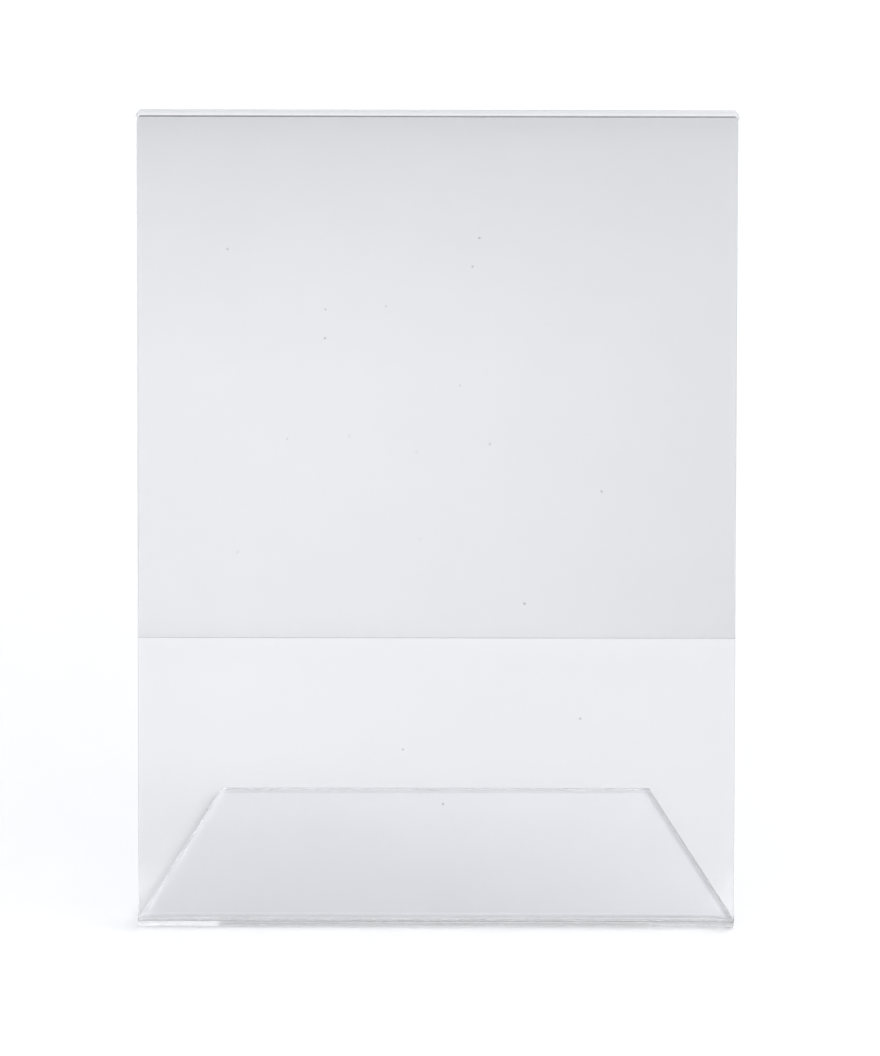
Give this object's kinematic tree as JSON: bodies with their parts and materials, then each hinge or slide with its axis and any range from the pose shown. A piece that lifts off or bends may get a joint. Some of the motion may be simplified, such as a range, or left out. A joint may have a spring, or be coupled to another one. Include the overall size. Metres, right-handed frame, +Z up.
{
  "type": "sign holder",
  "caption": "Clear acrylic slant-back sign holder: a leaning front panel folds over into a springy rear flap that grips a sign, and turns under at the bottom into a tapered foot.",
  "frame": {"origin": "on the table, under the centre of the holder's outline seen from above", "axes": "+X to the right along the bends seen from the front, +Y to the rear, where the panel leans and the foot reaches, +Z up"},
  "size_m": [0.216, 0.1096, 0.279],
  "materials": {
    "clear_acrylic": "polished clear acrylic sheet with flame-polished edges"
  },
  "bodies": {
    "holder": {"front_panel": "clear_acrylic", "top_bend": "clear_acrylic", "base_bend": "clear_acrylic", "base_foot": "clear_acrylic"},
    "flap": {"back_flap": "clear_acrylic"}
  },
  "joints": [
    {"name": "flap_flex", "type": "hinge", "parent": "holder", "child": "flap", "pos_m": [0, 0.04918, 0.27437], "axis": [1, 0, 0], "range_deg": [0, 4], "stiffness_Nm_per_rad": 24}
  ]
}
